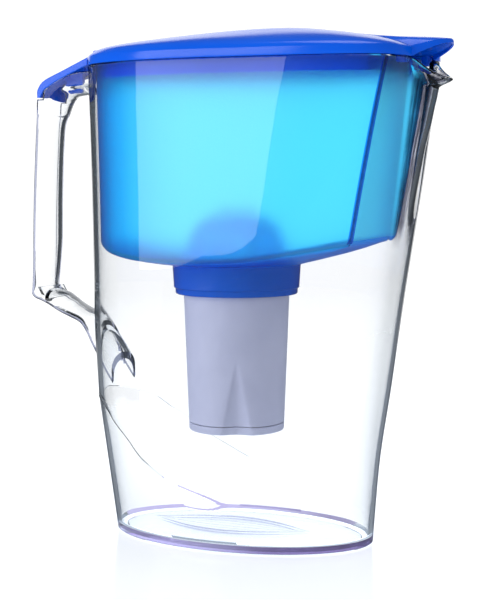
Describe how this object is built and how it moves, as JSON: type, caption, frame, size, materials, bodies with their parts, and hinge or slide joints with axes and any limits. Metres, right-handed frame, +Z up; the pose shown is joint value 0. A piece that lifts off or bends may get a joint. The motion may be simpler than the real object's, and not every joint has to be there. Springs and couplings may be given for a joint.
{
  "type": "water filter jug",
  "caption": "Household water-filter jug: clear handled jug with a pouring lip, lift-off lid with visor, lift-out hopper and a drop-in cartridge in the hopper's neck.",
  "frame": {"origin": "middle of the bounding box, on the table", "axes": "+Z up; +X towards the pouring lip, the handle is at -X; +Y across, to the left as seen from the handle"},
  "size_m": [0.2337, 0.1046, 0.2626],
  "materials": {
    "clear_plastic": "clear, polished",
    "blue_gloss": "glossy",
    "blue_clear": "see-through, finely textured",
    "silicone": "satin",
    "grey_plastic": "satin",
    "mesh_cloth": "fine mesh",
    "carbon": "granular",
    "resin": "granular"
  },
  "bodies": {
    "jug_body": {"jug": "clear_plastic", "handle_cover": "blue_gloss"},
    "hopper_body": {"hopper": "blue_clear"},
    "lid_body": {"lid": "blue_gloss"},
    "cartridge": {"cartridge_body": "grey_plastic", "cartridge_head": "grey_plastic", "cartridge_base": "grey_plastic", "seal_ring": "silicone", "upper_screen": "mesh_cloth", "lower_screen": "mesh_cloth", "carbon_bed": "carbon", "resin_bed": "resin"}
  },
  "joints": [
    {"name": "hopper_lift", "type": "slide", "parent": "jug_body", "child": "hopper_body", "axis": [0, 0, 1], "range_m": [0, 0.195]},
    {"name": "lid_lift", "type": "slide", "parent": "hopper_body", "child": "lid_body", "axis": [0, 0, 1], "range_m": [0, 0.06]},
    {"name": "cartridge_lift", "type": "slide", "parent": "hopper_body", "child": "cartridge", "axis": [0, 0, 1], "range_m": [0, 0.08]}
  ]
}
